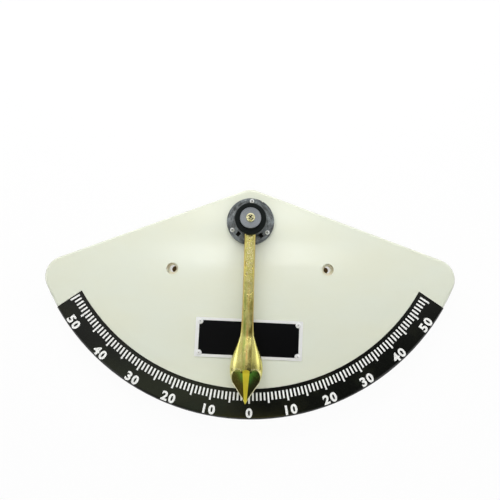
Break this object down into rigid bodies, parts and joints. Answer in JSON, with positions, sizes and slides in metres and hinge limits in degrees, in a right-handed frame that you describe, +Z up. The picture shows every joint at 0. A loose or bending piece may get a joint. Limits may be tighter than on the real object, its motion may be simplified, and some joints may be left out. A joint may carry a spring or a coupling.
{
  "type": "wall inclinometer",
  "caption": "Wall-mounted pendulum inclinometer: fan-shaped dial board with a printed arc scale and a cast brass pendulum swinging freely on ball bearings.",
  "frame": {"origin": "On the flat back of the board, midway between the two fixing holes, where the board lies against the wall.", "axes": "+X to the right as the dial is read, +Y into the wall, +Z up; the dial faces -Y."},
  "size_m": [0.5794, 0.0684, 0.3211],
  "materials": {
    "cream_plastic": "glossy moulded",
    "black_film": "glossy printed film",
    "nameplate_metal": "satin with a black etched field",
    "rivet_metal": "bright",
    "grey_plastic": "glossy moulded",
    "zinc_steel": "zinc plated",
    "turned_steel": "turned",
    "bearing_steel": "ground",
    "cage_brass": "pressed",
    "black_plastic": "matte moulded",
    "cast_brass": "cast and polished"
  },
  "bodies": {
    "board": {"dial_board": "cream_plastic", "scale_band": "black_film", "nameplate": "nameplate_metal", "nameplate_rivet_1": "rivet_metal", "nameplate_rivet_2": "rivet_metal", "nameplate_rivet_3": "rivet_metal", "nameplate_rivet_4": "rivet_metal", "hub_flange": "grey_plastic", "flange_screw_1": "zinc_steel", "flange_screw_2": "zinc_steel", "flange_screw_3": "zinc_steel", "pivot_shaft": "turned_steel", "shaft_washer": "zinc_steel", "shaft_nut": "zinc_steel", "rear_bearing_inner_race": "bearing_steel", "front_bearing_inner_race": "bearing_steel", "bearing_spacer": "turned_steel", "retaining_washer": "turned_steel", "retaining_screw": "cast_brass"},
    "pendulum": {"pendulum": "cast_brass", "bearing_housing": "black_plastic", "rear_bearing_outer_race": "bearing_steel", "rear_bearing_back_shield": "bearing_steel", "rear_bearing_front_shield": "bearing_steel", "rear_bearing_ball_1": "bearing_steel", "rear_bearing_ball_2": "bearing_steel", "rear_bearing_ball_3": "bearing_steel", "rear_bearing_ball_4": "bearing_steel", "rear_bearing_ball_5": "bearing_steel", "rear_bearing_ball_6": "bearing_steel", "rear_bearing_ball_7": "bearing_steel", "rear_bearing_cage": "cage_brass", "front_bearing_outer_race": "bearing_steel", "front_bearing_back_shield": "bearing_steel", "front_bearing_front_shield": "bearing_steel", "front_bearing_ball_1": "bearing_steel", "front_bearing_ball_2": "bearing_steel", "front_bearing_ball_3": "bearing_steel", "front_bearing_ball_4": "bearing_steel", "front_bearing_ball_5": "bearing_steel", "front_bearing_ball_6": "bearing_steel", "front_bearing_ball_7": "bearing_steel", "front_bearing_cage": "cage_brass"}
  },
  "joints": [
    {"name": "pendulum_swing", "type": "hinge", "parent": "board", "child": "pendulum", "pos_m": [0, -0.0415, 0.067], "axis": [0, 1, 0], "continuous": true}
  ]
}
